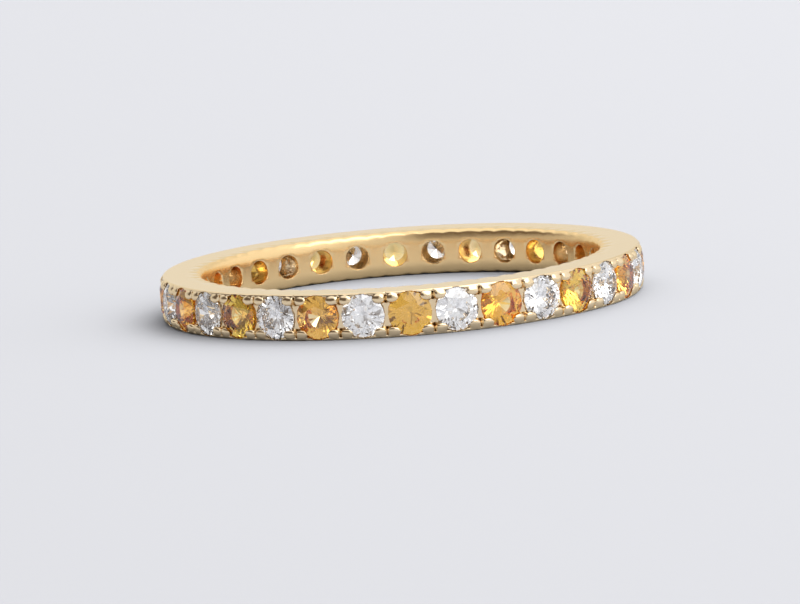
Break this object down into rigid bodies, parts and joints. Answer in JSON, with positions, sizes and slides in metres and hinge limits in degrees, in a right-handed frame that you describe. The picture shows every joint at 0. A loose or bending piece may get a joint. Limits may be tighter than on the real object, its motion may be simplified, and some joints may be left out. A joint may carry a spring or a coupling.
{
  "type": "eternity ring",
  "caption": "Finger ring: a slim gold band with a full circle of round yellow and white stones in turn, held by small bead prongs.",
  "frame": {"origin": "centre of the finger hole, on the plane of the lower side face, which is what the ring rests on when it lies on its side", "axes": "+Z along the finger hole, from the lower side face to the upper one; -Y towards the first yellow stone; stones are counted from there towards +X"},
  "size_m": [0.0202, 0.0202, 0.0019],
  "materials": {
    "gold": "polished pale yellow gold",
    "yellow_stone": "polished, transparent golden yellow",
    "white_stone": "polished, transparent and colourless"
  },
  "bodies": {
    "root": {"band": "gold", "yellow_stone_01": "yellow_stone", "yellow_stone_02": "yellow_stone", "yellow_stone_03": "yellow_stone", "yellow_stone_04": "yellow_stone", "yellow_stone_05": "yellow_stone", "yellow_stone_06": "yellow_stone", "yellow_stone_07": "yellow_stone", "yellow_stone_08": "yellow_stone", "yellow_stone_09": "yellow_stone", "yellow_stone_10": "yellow_stone", "yellow_stone_11": "yellow_stone", "yellow_stone_12": "yellow_stone", "yellow_stone_13": "yellow_stone", "yellow_stone_14": "yellow_stone", "yellow_stone_15": "yellow_stone", "yellow_stone_16": "yellow_stone", "white_stone_01": "white_stone", "white_stone_02": "white_stone", "white_stone_03": "white_stone", "white_stone_04": "white_stone", "white_stone_05": "white_stone", "white_stone_06": "white_stone", "white_stone_07": "white_stone", "white_stone_08": "white_stone", "white_stone_09": "white_stone", "white_stone_10": "white_stone", "white_stone_11": "white_stone", "white_stone_12": "white_stone", "white_stone_13": "white_stone", "white_stone_14": "white_stone", "white_stone_15": "white_stone", "white_stone_16": "white_stone"}
  },
  "joints": []
}
